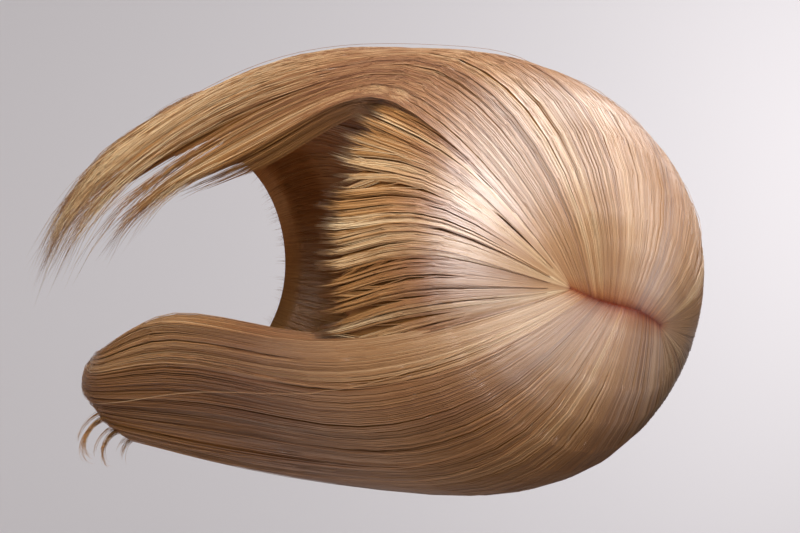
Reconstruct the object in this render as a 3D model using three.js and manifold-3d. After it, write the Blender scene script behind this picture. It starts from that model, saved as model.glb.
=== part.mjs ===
// A medium-length wig with a full fringe: a cap, a parting strip and four sections of hair.
// Millimetres, +Z up. The crown of the head inside touches the origin from below, the face looks
// along -Y, and +X is on the wearer's left. Azimuths are degrees round the head from the front,
// positive towards the wearer's left.
import * as THREE from "three";
import { mergeVertices } from "three/addons/utils/BufferGeometryUtils.js";
import Module from "manifold-3d";

const wasm = await Module();
wasm.setup();
const { lerp, clamp, degToRad: radians } = THREE.MathUtils;

// The head that the cap fits is 532 mm round: an ellipsoid whose widest level is CROWN_HEIGHT down.
const HEAD_HALF_WIDTH = 77;
const HEAD_HALF_LENGTH = 92;
const CROWN_HEIGHT = 95;

const CAP_WALL = 1.6;
const CAP_COLUMNS = 40;
const CAP_LEVELS = 9;

// Clearance from the cap to the hair sewn on it, and between two neighbouring sections of hair.
const SEWN_GAP = 1.4;
const SECTION_GAP = 0.6;

// The parting runs front to back, a little to the wearer's left of the middle.
const PARTING_X = 16;
const PARTING_FRONT_Y = -22;
const PARTING_BACK_Y = 30;
const PARTING_HALF_WIDTH = 2.4;
const STRIP_HALF_WIDTH = 1.9;
const STRIP_THICKNESS = 1;
const STRIP_GAP = 0.4;
const STRIP_STEPS = 8;

// Depth of the hair, from the side against the head to its outer surface. It rises from the roots to
// its full depth at a share of the way down the head.
const ROOT_DEPTH = 10;
const FULL_DEPTH_AT = 0.55;
const NECK_DEPTH = 13;
const TIP_DEPTH = 8;

// A hair's path has this many steps over the head, and bends at a share of its fall to the tip.
const PATH_STEPS = 6;
const BEND_AT = 0.7;

// Points closer than the first are one point, and slivers finer than the second, where locks cross,
// are smoothed away.
const SAME_POINT = 1e-4;
const SHORTEST_EDGE = 0.05;

// Form of one lock, as shares of its section's length, width and depth.
const TIP_HEIGHT = 0.3;
const VALLEY_AT_ROOT = 0.96;
const VALLEY_AT_TIP = 0.62;
const SHOULDER_AT = 0.55;
const SHOULDER_RISE = 0.75;
const LENGTH_SPREAD = 0.07;
const HEIGHT_SPREAD = 0.12;

// The cap's lower edge on either side: forehead, tab before the ear, arch over the ear, nape.
const CAP_RIM = [
  { azimuth: 0, z: -50 },
  { azimuth: 36, z: -60 },
  { azimuth: 62, z: -116 },
  { azimuth: 74, z: -118 },
  { azimuth: 92, z: -94 },
  { azimuth: 114, z: -100 },
  { azimuth: 146, z: -140 },
  { azimuth: 180, z: -156 },
];

// Guide hairs. Each one leaves the parting, crosses the head to its azimuth at the widest level,
// where it stands off the cap by stand, passes the neck point and ends at the tip, with a bulge of
// curl before the tip.
const LONG_HAIR = [
  "azimuth", "stand", "neckAzimuth", "neckRadius", "neckZ", "tipAzimuth", "tipRadius", "tipZ", "curl",
];
const RIGHT_GUIDES = table(LONG_HAIR, [
  [-42, 7, -20, 92, -150, 8, 98, -252, 2],
  [-62, 17, -44, 105, -185, 14, 104, -314, 0],
  [-86, 17, -68, 109, -180, 5, 103, -305, 0],
  [-108, 17, -90, 103, -195, -25, 88, -298, 2],
  [-128, 18, -117, 101, -205, -85, 86, -318, 8],
]);
const LEFT_GUIDES = table(LONG_HAIR, [
  [42, 8, 34, 96, -212, 46, 102, -290, -1],
  [62, 21, 55, 104, -190, 57, 104, -325, 3],
  [86, 28, 83, 111, -185, 74, 106, -333, 1],
  [108, 27, 102, 108, -195, 95, 98, -333, 3],
  [128, 23, 123, 102, -202, 119, 92, -328, 8],
]);
const BACK_GUIDES = table(LONG_HAIR, [
  [128, 23, 123, 102, -202, 119, 92, -328, 8],
  [154, 21, 152, 100, -208, 150, 88, -328, 10],
  [180, 20, 180, 100, -210, 182, 88, -328, 10],
  [206, 19, 209, 100, -208, 220, 87, -326, 10],
  [232, 18, 243, 101, -205, 275, 86, -318, 8],
]);

// The fringe ends over the brow: its guides have a depth at mid-length and at the tip, and reach a
// share of the way to the widest level.
const FRINGE_GUIDES = table(["azimuth", "midStand", "tipStand", "reach"], [
  [-42, 11, 3, 0.93],
  [-20, 12, 4, 0.86],
  [0, 13, 5, 0.83],
  [20, 12, 4, 0.87],
  [42, 11, 3, 0.92],
]);

function table(columns, rows) {
  return rows.map((row) => Object.fromEntries(columns.map((name, i) => [name, row[i]])));
}

// The roots stand round the parting: along its two sides, and fanned round its two ends.
const sideRoot = (side) => (across) => [
  PARTING_X + side * PARTING_HALF_WIDTH,
  lerp(PARTING_FRONT_Y, PARTING_BACK_Y, across),
];
const fanRoot = (endY, facing) => (across) => {
  const turn = facing * Math.PI * (0.5 - across);
  return [
    PARTING_X + PARTING_HALF_WIDTH * Math.sin(turn),
    endY + facing * PARTING_HALF_WIDTH * Math.cos(turn),
  ];
};

// Each section is cut in locks along its length: steps over the head, then steps below it, of which
// the last ones, in which every lock narrows to its own tip, are its taper.
const LONG_CUT = { headShare: 0.42, headSteps: 8, fallSteps: 8 };
const FRINGE_CUT = { headShare: 0.7, headSteps: 5, fallSteps: 3 };
const SECTIONS = [
  {
    name: "fringe",
    guides: FRINGE_GUIDES,
    root: fanRoot(PARTING_FRONT_Y, -1),
    locks: 12,
    ...FRINGE_CUT,
    taperSteps: 2,
    tipWidth: 0.55,
  },
  {
    name: "right_side",
    guides: RIGHT_GUIDES,
    root: sideRoot(-1),
    locks: 9,
    ...LONG_CUT,
    taperSteps: 3,
    tipWidth: 0.3,
  },
  {
    name: "left_side",
    guides: LEFT_GUIDES,
    root: sideRoot(1),
    locks: 9,
    ...LONG_CUT,
    taperSteps: 2,
    tipWidth: 0.7,
  },
  {
    name: "back",
    guides: BACK_GUIDES,
    root: fanRoot(PARTING_BACK_Y, 1),
    locks: 10,
    ...LONG_CUT,
    taperSteps: 2,
    tipWidth: 0.7,
  },
];

const FINISHES = {
  cap: new THREE.MeshStandardMaterial({ color: 0x9a7350, roughness: 0.9, metalness: 0 }),
  parting: new THREE.MeshStandardMaterial({ color: 0xc98a5c, roughness: 0.7, metalness: 0 }),
  hair: new THREE.MeshStandardMaterial({ color: 0xc7a27a, roughness: 0.4, metalness: 0 }),
};

function ease(share) {
  const x = clamp(share, 0, 1);
  return x * x * (3 - 2 * x);
}

// A repeatable value from 0 to 1 for lock number i of a section.
function spread(i, salt) {
  const x = Math.sin(i * 12.9898 + salt * 78.233) * 43758.5453;
  return x - Math.floor(x);
}

// A point over the head in direction n of the unit sphere, lifted off the head's own surface.
function headPoint(n, lift) {
  return new THREE.Vector3(
    (HEAD_HALF_WIDTH + lift) * n.x,
    (HEAD_HALF_LENGTH + lift) * n.y,
    (CROWN_HEIGHT + lift) * n.z - CROWN_HEIGHT,
  );
}

function direction(azimuth, tilt) {
  const a = radians(azimuth);
  return new THREE.Vector3(Math.sin(a) * Math.sin(tilt), -Math.cos(a) * Math.sin(tilt), Math.cos(tilt));
}

// How far the direction to the head's surface at height z tilts from straight up.
function tiltAtHeight(z) {
  return Math.acos((z + CROWN_HEIGHT) / CROWN_HEIGHT);
}

function directionAbove([x, y]) {
  const nx = x / HEAD_HALF_WIDTH;
  const ny = y / HEAD_HALF_LENGTH;
  return new THREE.Vector3(nx, ny, Math.sqrt(1 - nx * nx - ny * ny));
}

// The direction a share of the way along the shortest path over the unit sphere from a to b.
function between(a, b, share) {
  const angle = a.angleTo(b);
  const from = Math.sin((1 - share) * angle) / Math.sin(angle);
  const to = Math.sin(share * angle) / Math.sin(angle);
  return a.clone().multiplyScalar(from).addScaledVector(b, to);
}

function polar(azimuth, radius, z) {
  const a = radians(azimuth);
  return new THREE.Vector3(radius * Math.sin(a), -radius * Math.cos(a), z);
}

// One guide, read smoothly between the rows of its table at a share of the way across.
function guideAt(guides, across) {
  const place = clamp(across, 0, 1) * (guides.length - 1);
  const i = Math.min(Math.floor(place), guides.length - 2);
  const f = place - i;
  const row = (k) => guides[clamp(k, 0, guides.length - 1)];
  const made = {};
  for (const key of Object.keys(guides[0])) {
    const [a, b, c, d] = [i - 1, i, i + 1, i + 2].map((k) => row(k)[key]);
    made[key] = b + 0.5 * f * (c - a + f * (2 * a - 5 * b + 4 * c - d + f * (3 * (b - c) + d - a)));
  }
  return made;
}

// The path of one hair of a section, at a share across it and at a depth from 0, inside, to 1.
function hairPath(section, across, depth) {
  const guide = guideAt(section.guides, across);
  const isFringe = guide.reach !== undefined;
  const base = CAP_WALL + SEWN_GAP;
  const root = directionAbove(section.root(across));
  const side = direction(guide.azimuth, Math.PI / 2);
  const points = [];
  for (let k = 0; k <= PATH_STEPS; k++) {
    const f = k / PATH_STEPS;
    const stand = isFringe
      ? lerp(lerp(ROOT_DEPTH, guide.midStand, ease(2 * f)), guide.tipStand, ease(2 * f - 1))
      : lerp(ROOT_DEPTH, guide.stand, ease(f / FULL_DEPTH_AT));
    const reach = isFringe ? guide.reach * f : f;
    points.push(headPoint(between(root, side, reach), base + depth * stand));
  }
  if (!isFringe) {
    const bendRadius = lerp(guide.neckRadius, guide.tipRadius, BEND_AT) + guide.curl;
    const bendDepth = lerp(NECK_DEPTH, TIP_DEPTH, BEND_AT);
    const inside = 1 - depth;
    points.push(
      polar(guide.neckAzimuth, guide.neckRadius - inside * NECK_DEPTH, guide.neckZ),
      polar(
        lerp(guide.neckAzimuth, guide.tipAzimuth, BEND_AT),
        bendRadius - inside * bendDepth,
        lerp(guide.neckZ, guide.tipZ, BEND_AT),
      ),
      polar(guide.tipAzimuth, guide.tipRadius - inside * TIP_DEPTH, guide.tipZ),
    );
  }
  return new THREE.CatmullRomCurve3(points, false, "centripetal");
}

// A closed solid through rings of equal count, with flat ends. The side that closes each ring is
// split the other way, so that it matches the facing wall of the next lock.
function loft(rings) {
  const count = rings[0].length;
  const positions = rings.flat().flatMap((p) => [p.x, p.y, p.z]);
  const faces = [];
  for (let i = 0; i + 1 < rings.length; i++) {
    for (let j = 0; j < count; j++) {
      const k = (j + 1) % count;
      const [a, b] = [i * count + j, i * count + k];
      if (k) faces.push(a, b, b + count, a, b + count, a + count);
      else faces.push(a, b, a + count, b, b + count, a + count);
    }
  }
  const last = (rings.length - 1) * count;
  for (let j = 1; j + 1 < count; j++) faces.push(0, j + 1, j, last, last + j, last + j + 1);
  return solidFrom(positions, faces);
}

function solidFrom(positions, faces) {
  const geometry = new THREE.BufferGeometry();
  geometry.setAttribute("position", new THREE.Float32BufferAttribute(positions, 3));
  geometry.setIndex(faces);
  const merged = mergeVertices(geometry, SAME_POINT);
  const made = (triVerts) =>
    new wasm.Manifold(
      new wasm.Mesh({ numProp: 3, vertProperties: merged.attributes.position.array, triVerts }),
    );
  const indices = new Uint32Array(merged.index.array);
  const solid = made(indices);
  return solid.volume() > 0 ? solid : made(indices.slice().reverse());
}

function meshOf(name, solid, finish) {
  const { numProp, vertProperties, triVerts } = solid.getMesh();
  const geometry = new THREE.BufferGeometry();
  const buffer = new THREE.InterleavedBuffer(vertProperties, numProp);
  geometry.setAttribute("position", new THREE.InterleavedBufferAttribute(buffer, 3, 0));
  geometry.setIndex(new THREE.BufferAttribute(triVerts, 1));
  const flat = geometry.toNonIndexed();
  flat.computeVertexNormals();
  const mesh = new THREE.Mesh(flat, finish);
  mesh.name = name;
  return mesh;
}

// The ring round lock i at a share of the way along it: three points against the head, five
// outside. The taper runs from 0, where neighbouring locks still share a wall, to 1 at the tip.
function lockRing(section, i, along, taper) {
  const narrow = lerp(1, section.tipWidth, ease(taper));
  const full = lerp(1, TIP_HEIGHT, ease(taper));
  const valley = lerp(VALLEY_AT_ROOT, VALLEY_AT_TIP, ease(along));
  const crest = 1 - HEIGHT_SPREAD * spread(i, 2) * ease(3 * along);
  const shoulder = lerp(valley, crest, SHOULDER_RISE);
  const outline = [
    [-1, 0],
    [0, 0],
    [1, 0],
    [1, valley],
    [SHOULDER_AT, shoulder],
    [0, crest],
    [-SHOULDER_AT, shoulder],
    [-1, valley],
  ];
  const reach = along - LENGTH_SPREAD * spread(i, 1) * taper;
  const points = outline.map(([side, height]) => {
    const across = (i + 0.5 + 0.5 * side * narrow) / section.locks;
    const [inner, outer] = [0, 1].map((depth) => hairPath(section, across, depth).getPointAt(reach));
    return inner.lerp(outer, lerp(0.5, height, full));
  });
  const pull = (edge, opposite) => {
    const inward = points[opposite].clone().sub(points[edge]).normalize();
    points[edge].addScaledVector(inward, SECTION_GAP / 2);
  };
  if (i === 0) [[0, 2], [7, 3]].forEach(([edge, opposite]) => pull(edge, opposite));
  if (i === section.locks - 1) [[2, 0], [3, 7]].forEach(([edge, opposite]) => pull(edge, opposite));
  return points;
}

// A section of hair: its locks, fused along the walls that they share.
function hairSection(section) {
  const { headShare, headSteps, fallSteps, taperSteps } = section;
  let whole = null;
  for (let i = 0; i < section.locks; i++) {
    const rings = [];
    for (let k = 0; k <= headSteps; k++) {
      rings.push(lockRing(section, i, (headShare * k) / headSteps, 0));
    }
    for (let k = 1; k <= fallSteps; k++) {
      const taper = Math.max(0, (k - fallSteps + taperSteps) / taperSteps);
      rings.push(lockRing(section, i, lerp(headShare, 1, k / fallSteps), taper));
    }
    const lock = loft(rings);
    whole = whole ? whole.add(lock) : lock;
  }
  return meshOf(section.name, whole.simplify(SHORTEST_EDGE), FINISHES.hair);
}

// The height of the cap's lower edge at an azimuth, the same on both sides.
function rimHeight(azimuth) {
  const side = Math.abs(((azimuth + 540) % 360) - 180);
  const i = Math.min(
    CAP_RIM.findLastIndex((row) => row.azimuth <= side),
    CAP_RIM.length - 2,
  );
  const [a, b] = [CAP_RIM[i], CAP_RIM[i + 1]];
  return lerp(a.z, b.z, ease((side - a.azimuth) / (b.azimuth - a.azimuth)));
}

// The cap: a thin wall over the crown and down to its rim, open below.
function cap() {
  const positions = [];
  const faces = [];
  const add = (p) => positions.push(p.x, p.y, p.z) / 3 - 1;
  const wall = (lift) => {
    const crown = add(headPoint(new THREE.Vector3(0, 0, 1), lift));
    const rows = [];
    for (let level = 1; level <= CAP_LEVELS; level++) {
      const row = [];
      for (let k = 0; k < CAP_COLUMNS; k++) {
        const azimuth = (360 * k) / CAP_COLUMNS;
        const tilt = (tiltAtHeight(rimHeight(azimuth)) * level) / CAP_LEVELS;
        row.push(add(headPoint(direction(azimuth, tilt), lift)));
      }
      rows.push(row);
    }
    return { crown, rows };
  };
  const outer = wall(CAP_WALL);
  const inner = wall(0);
  const quad = (a, b, c, d) => faces.push(a, b, c, a, c, d);
  for (let k = 0; k < CAP_COLUMNS; k++) {
    const n = (k + 1) % CAP_COLUMNS;
    faces.push(outer.crown, outer.rows[0][k], outer.rows[0][n]);
    faces.push(inner.crown, inner.rows[0][n], inner.rows[0][k]);
    for (let level = 0; level + 1 < CAP_LEVELS; level++) {
      const [o, p] = [outer.rows[level], outer.rows[level + 1]];
      quad(o[k], p[k], p[n], o[n]);
      const [q, r] = [inner.rows[level], inner.rows[level + 1]];
      quad(q[k], q[n], r[n], r[k]);
    }
    const [o, q] = [outer.rows.at(-1), inner.rows.at(-1)];
    quad(o[k], q[k], q[n], o[n]);
  }
  return meshOf("cap", solidFrom(positions, faces), FINISHES.cap);
}

// The parting strip: a narrow band of skin-coloured cloth laid on the cap between the roots.
function partingStrip() {
  const rings = [];
  const bottom = CAP_WALL + STRIP_GAP;
  for (let k = 0; k <= STRIP_STEPS; k++) {
    const y = lerp(PARTING_FRONT_Y, PARTING_BACK_Y, k / STRIP_STEPS);
    const right = directionAbove([PARTING_X - STRIP_HALF_WIDTH, y]);
    const left = directionAbove([PARTING_X + STRIP_HALF_WIDTH, y]);
    rings.push([
      headPoint(right, bottom),
      headPoint(left, bottom),
      headPoint(left, bottom + STRIP_THICKNESS),
      headPoint(right, bottom + STRIP_THICKNESS),
    ]);
  }
  return meshOf("parting_strip", loft(rings), FINISHES.parting);
}

const wig = new THREE.Group();
wig.add(cap(), partingStrip(), ...SECTIONS.map(hairSection));

export default wig;
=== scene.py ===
# %% [markdown]
# # A medium-length wig with a full fringe
#
# A wig is a thin stretch cap with hair of synthetic fibre sewn on it. This one has a short parting on
# the crown, a full fringe, one side swept forward to thin tips and the other side turned under. The
# solid model gives its form as six plain solids. This lesson dresses them: every section of hair gets
# a body of combed fibre and some thousands of separate strands over it, and the cap gets its net.
# Lengths are written in millimetres and turned to metres where a mesh is made.

# %% Load the frame
import math

import bpy
import numpy as np
from mathutils import Matrix, Vector


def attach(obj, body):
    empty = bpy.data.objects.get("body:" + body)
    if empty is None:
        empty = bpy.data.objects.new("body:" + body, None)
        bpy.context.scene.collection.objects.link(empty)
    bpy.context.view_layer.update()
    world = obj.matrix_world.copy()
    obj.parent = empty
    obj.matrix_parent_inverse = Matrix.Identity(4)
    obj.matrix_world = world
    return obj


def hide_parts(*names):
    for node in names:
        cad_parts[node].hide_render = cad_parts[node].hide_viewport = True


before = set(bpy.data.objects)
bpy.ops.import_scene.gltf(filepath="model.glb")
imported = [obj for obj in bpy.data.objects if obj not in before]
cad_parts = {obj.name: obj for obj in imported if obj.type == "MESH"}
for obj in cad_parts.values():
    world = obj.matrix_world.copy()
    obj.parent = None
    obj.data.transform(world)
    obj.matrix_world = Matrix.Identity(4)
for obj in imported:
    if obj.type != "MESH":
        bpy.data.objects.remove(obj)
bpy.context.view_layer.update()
scene = bpy.context.scene
print("solids:", sorted(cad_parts))

# %% [markdown]
# ## The camera
#
# The picture was taken with the camera on its side: what is up on the wig points to the right of the
# picture. A camera can be placed by eye, but here it is worked out from a few numbers: the azimuth and
# elevation of the view, the distance to the crown, the focal length, and the pixel that the crown
# falls on. So one of them can be changed while the others stay true.

# %% Camera
PICTURE = (800, 533)
CROWN_PIXEL = (608, 262)
FOCAL_PIXELS = 1817
VIEW_AZIMUTH = math.radians(16)
VIEW_ELEVATION = math.radians(50)
VIEW_DISTANCE = 0.770
SENSOR_WIDTH = 36.0

towards_camera = Vector((
    math.sin(VIEW_AZIMUTH) * math.cos(VIEW_ELEVATION),
    -math.cos(VIEW_AZIMUTH) * math.cos(VIEW_ELEVATION),
    math.sin(VIEW_ELEVATION),
))
view_right = Vector((math.cos(VIEW_AZIMUTH), math.sin(VIEW_AZIMUTH), 0))
view_up = towards_camera.cross(view_right)

pixel = VIEW_DISTANCE / FOCAL_PIXELS
offset_up = (CROWN_PIXEL[0] - PICTURE[0] / 2) * pixel
offset_right = (CROWN_PIXEL[1] - PICTURE[1] / 2) * pixel
camera_place = VIEW_DISTANCE * towards_camera - offset_up * view_up - offset_right * view_right
camera_turn = Matrix((view_up, -view_right, towards_camera)).transposed()

camera = bpy.data.objects.new("camera", bpy.data.cameras.new("camera"))
camera.data.sensor_width = SENSOR_WIDTH
camera.data.lens = FOCAL_PIXELS * SENSOR_WIDTH / PICTURE[0]
camera.matrix_world = Matrix.Translation(camera_place) @ camera_turn.to_4x4()
scene.collection.objects.link(camera)
scene.camera = camera
print("camera at", [round(x, 3) for x in camera_place], "lens", round(camera.data.lens, 1))

# %% [markdown]
# ## Guide hairs
#
# All the hair leaves the parting, crosses the head and falls. A few guide hairs describe that, as a
# hairdresser would: where a hair crosses the widest level of the head and how far it stands off it
# there, where it passes the neck, and where it ends. Hair could also be combed by hand in Blender, but
# guides in a table can be compared with the solid model. They are its guides, so the strands follow its
# form. Only two things are added: the roots cross the parting a little, so that no bare line shows, and
# the fringe falls in a curve.

# %% Head, parting and guide hairs
# Half the width and half the length of the head, and its height over its widest level.
HEAD_HALF = np.array([77.0, 92.0, 95.0])
CROWN_HEIGHT = HEAD_HALF[2]

# The parting runs from front to back. The roots beside it cross it a little, in a slight wave.
PARTING_X = 16
PARTING_FRONT_Y = -22
PARTING_BACK_Y = 30
PARTING_CROSSING = 0.9
PARTING_WAVE = 0.8
WHORL_RADIUS = 0.04

# Columns of the tables of guides: azimuths in degrees, lengths in mm, and reach as a share of the way
# to the widest level.
LONG_HAIR = (
    "azimuth", "stand", "neck_azimuth", "neck_radius", "neck_z",
    "tip_azimuth", "tip_radius", "tip_z", "curl",
)
FRINGE_HAIR = ("azimuth", "mid_stand", "tip_stand", "reach")

RIGHT_GUIDES = (
    (-42, 9, -20, 92, -150, 8, 98, -252, 2),
    (-62, 17, -44, 105, -185, 14, 104, -314, 0),
    (-86, 17, -68, 109, -180, 5, 103, -305, 0),
    (-108, 17, -90, 103, -195, -25, 88, -298, 2),
    (-128, 18, -117, 101, -205, -85, 86, -318, 8),
)
LEFT_GUIDES = (
    (42, 9, 34, 96, -212, 46, 102, -290, -1),
    (62, 21, 55, 104, -190, 57, 104, -325, 3),
    (86, 28, 83, 111, -185, 74, 106, -333, 1),
    (108, 27, 102, 108, -195, 95, 98, -333, 3),
    (128, 23, 123, 102, -202, 119, 92, -328, 8),
)
BACK_GUIDES = (
    (128, 23, 123, 102, -202, 119, 92, -328, 8),
    (154, 21, 152, 100, -208, 150, 88, -328, 10),
    (180, 20, 180, 100, -210, 182, 88, -328, 10),
    (206, 19, 209, 100, -208, 220, 87, -326, 10),
    (232, 18, 243, 101, -205, 275, 86, -318, 8),
)
FRINGE_GUIDES = (
    (-42, 9, 3, 0.93),
    (-20, 12, 4, 0.86),
    (0, 13, 5, 0.83),
    (20, 12, 4, 0.87),
    (42, 9, 3, 0.92),
)


def side_root(side):
    """Roots of a side section: along the parting, a little past it, in a slight wave."""
    def root(across):
        x = PARTING_X - side * PARTING_CROSSING + PARTING_WAVE * np.sin(2 * math.pi * across)
        y = PARTING_FRONT_Y + (PARTING_BACK_Y - PARTING_FRONT_Y) * across
        return x, y
    return root


def fan_root(end_y, facing):
    """Roots of the fringe or the back: a tiny half circle at one end of the parting."""
    def root(across):
        turn = facing * math.pi * (0.5 - across)
        x = PARTING_X + WHORL_RADIUS * np.sin(turn)
        y = end_y + facing * WHORL_RADIUS * np.cos(turn)
        return x, y
    return root


print("parting", PARTING_BACK_Y - PARTING_FRONT_Y, "mm long, seen from above")

# %% [markdown]
# ## From guides to paths
#
# A guide gives only a few points, and a hair bends smoothly through them. Every hair between two
# guides is read from a smooth curve across the table, first on the inside of the hair and then on its
# surface. Blender could subdivide a few curves instead. Arrays are used here, because the same paths are
# wanted later at any place in the hair.

# %% Smooth steps and places on the head
def ease(share):
    """A smooth step from 0 to 1."""
    x = np.clip(share, 0, 1)
    return x * x * (3 - 2 * x)


def ease_from(value, begin, length):
    """A smooth step that begins at a value and takes a length."""
    return ease((value - begin) / length)


def mix(a, b, share):
    """A share of the way from a to b."""
    return a + (b - a) * share


def polar(azimuth, radius, z):
    """Points round the upright axis, with the azimuth in degrees from the face to the wearer's left."""
    a = np.radians(azimuth)
    return np.stack([radius * np.sin(a), -radius * np.cos(a), z + 0 * a], -1)


def over_head(root, azimuth, share, lift):
    """Points a share of the way over the head from a root to the widest level at an azimuth."""
    x, y = (np.asarray(v) / half for v, half in zip(root, HEAD_HALF))
    start = np.stack([x, y, np.sqrt(1 - x * x - y * y)], -1)
    end = polar(azimuth, 1, 0)
    angle = np.arccos(np.clip((start * end).sum(-1), -1, 1))[:, None]
    s = np.asarray(share)[..., None]
    outward = (np.sin((1 - s) * angle) * start + np.sin(s * angle) * end) / np.sin(angle)
    point = (HEAD_HALF + np.asarray(lift)[:, None]) * outward
    return point - (0, 0, CROWN_HEIGHT)


crown = (np.zeros(1), np.zeros(1))
ear = over_head(crown, np.array([90.0]), np.ones(1), np.zeros(1))[0]
print("the widest level of the head, over the wearer's left ear:", ear.round(1))

# %% Points along a guide
# Hair lies this far off the head, gets this deep at its root, neck and tip, and bends once below the neck.
HAIR_BASE = 3.0
ROOT_DEPTH = 10
FULL_DEPTH_AT = 0.55
NECK_DEPTH = 13
TIP_DEPTH = 8
BEND_AT = 0.7
PATH_STEPS = 6


def guide_at(columns, rows, across):
    """The guide hair at each share across a section, read smoothly between the rows of its table."""
    table = np.array(rows, float)
    row = across * (len(table) - 1)
    i = np.clip(row.astype(int), 0, len(table) - 2)
    f = (row - i)[:, None]
    a, b, c, d = (table[np.clip(i + k, 0, len(table) - 1)] for k in (-1, 0, 1, 2))
    read = b + 0.5 * f * (c - a + f * (2 * a - 5 * b + 4 * c - d + f * (3 * (b - c) + d - a)))
    return dict(zip(columns, read.T))


def falling_points(guide, depth):
    """The points of long hair below the head: at the neck, at the bend before the tip and at the tip."""
    inside = 1 - depth
    bend_azimuth = mix(guide["neck_azimuth"], guide["tip_azimuth"], BEND_AT)
    bend_radius = mix(guide["neck_radius"], guide["tip_radius"], BEND_AT) + guide["curl"]
    bend_depth = mix(NECK_DEPTH, TIP_DEPTH, BEND_AT)
    bend_z = mix(guide["neck_z"], guide["tip_z"], BEND_AT)
    return [
        polar(guide["neck_azimuth"], guide["neck_radius"] - inside * NECK_DEPTH, guide["neck_z"]),
        polar(bend_azimuth, bend_radius - inside * bend_depth, bend_z),
        polar(guide["tip_azimuth"], guide["tip_radius"] - inside * TIP_DEPTH, guide["tip_z"]),
    ]


def guide_points(columns, rows, root, across, depth):
    """The points that a hair passes at each share across, at one depth."""
    guide = guide_at(columns, rows, across)
    short = "reach" in guide
    points = []
    for k in range(PATH_STEPS + 1):
        f = k / PATH_STEPS
        if short:
            rising = mix(ROOT_DEPTH, guide["mid_stand"], ease(2 * f))
            stand = mix(rising, guide["tip_stand"], ease(2 * f - 1))
            share = guide["reach"] * f
        else:
            stand = mix(ROOT_DEPTH, guide["stand"], ease(f / FULL_DEPTH_AT))
            share = f + 0 * across
        points.append(over_head(root(across), guide["azimuth"], share, HAIR_BASE + depth * stand))
    if not short:
        points += falling_points(guide, depth)
    return np.stack(points, 1)


print("a long hair has", PATH_STEPS + 1, "points over the head and 3 below it")

# %% Smooth curves
CURVE_SAMPLES = 24


def smooth_lines(points, steps):
    """Smooth curves through rows of points, cut at even steps along their length."""
    first = 2 * points[:, :1] - points[:, 1:2]
    last = 2 * points[:, -1:] - points[:, -2:-1]
    p = np.concatenate([first, points, last], 1)
    span = np.sqrt(np.linalg.norm(np.diff(p, axis=1), axis=2, keepdims=True))
    f = np.linspace(0, 1, CURVE_SAMPLES, endpoint=False)[None, :, None]
    pieces = []
    for k in range(1, p.shape[1] - 2):
        a, b, c, d = (p[:, k + n, None] for n in (-1, 0, 1, 2))
        ab, bc, cd = (span[:, k + n, None] for n in (-1, 0, 1))
        start = bc * ((b - a) / ab - (c - a) / (ab + bc) + (c - b) / bc)
        end = bc * ((c - b) / bc - (d - b) / (bc + cd) + (d - c) / cd)
        second = 3 * (c - b) - 2 * start - end
        third = 2 * (b - c) + start + end
        pieces.append(b + f * (start + f * (second + f * third)))
    lines = np.concatenate(pieces + [points[:, -1:]], 1)
    gone = np.linalg.norm(np.diff(lines, axis=1), axis=2).cumsum(1)
    gone = np.pad(gone, ((0, 0), (1, 0)))
    even = np.linspace(0, 1, steps)
    cut = []
    for line, at in zip(lines, gone):
        cut.append(np.stack([np.interp(even * at[-1], at, line[:, k]) for k in range(3)], -1))
    return np.stack(cut)


corner = np.array([[[0.0, 0, 0], [10, 0, 0], [10, 10, 0]]])
rounded = smooth_lines(corner, 9)[0]
print("round a corner of two 10 mm sides, a curve swings out to", rounded[:, 0].max().round(2), "mm")

# %% Long hair relaxes and the fringe is swept
# A section is a grid of LANES hairs by STEPS points, and it relaxes between the two shares of BENDING.
# A pair that ease_from reads, such as SWEEP_ALONG, says where a change begins and how long it takes.
LANES = 161
STEPS = 121
RELAX_ROUNDS = 150
RELAX_SHARE = 0.5
BENDING = (0.22, 0.8)
FRINGE_SWEEP = 13
SWEEP_GROWS = 0.35
SWEEP_FADES_BY = 0.5
SWEEP_FADES = (0.6, 0.4)
SWEEP_ALONG = (0.2, 0.85)


def relaxed(grid):
    """Eases the bend where long hair leaves the head, by moving points towards their neighbours."""
    share = (np.linspace(0, 1, STEPS) - BENDING[0]) / (BENDING[1] - BENDING[0])
    strength = np.sin(math.pi * np.clip(share, 0, 1))[None, 1:-1, None] ** 2
    for _ in range(RELAX_ROUNDS):
        middle = (grid[:, :-2] + grid[:, 2:]) / 2
        grid[:, 1:-1] = mix(grid[:, 1:-1], middle, RELAX_SHARE * strength)
    return grid


def turned(points, turn):
    """Points turned round the upright axis through the crown, by angles in radians."""
    x = points[..., 0]
    y = points[..., 1]
    new_x = x * np.cos(turn) - y * np.sin(turn)
    new_y = x * np.sin(turn) + y * np.cos(turn)
    return np.stack([new_x, new_y, points[..., 2]], -1)


def swept(grid):
    """Lets the fringe fall in a curve towards the wearer's left, less at the temples."""
    lane = np.linspace(0, 1, LANES)[:, None]
    along = np.linspace(0, 1, STEPS)[None]
    fading = 1 - SWEEP_FADES_BY * ease_from(lane, *SWEEP_FADES)
    degrees = FRINGE_SWEEP * ease(lane / SWEEP_GROWS) * fading
    return turned(grid, np.radians(degrees) * ease_from(along, *SWEEP_ALONG) ** 2)


print("the fringe is swept by up to", FRINGE_SWEEP, "degrees")


# %% Comb the sections
def combed(columns, rows, root, form):
    """A section's inner and outer surface as two grids of points, across by along."""
    across = np.linspace(0, 1, LANES)
    surfaces = {}
    for name, depth in (("inner", 0.0), ("outer", 1.0)):
        points = guide_points(columns, rows, root, across, depth)
        surfaces[name] = form(smooth_lines(points, STEPS))
    return surfaces


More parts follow.
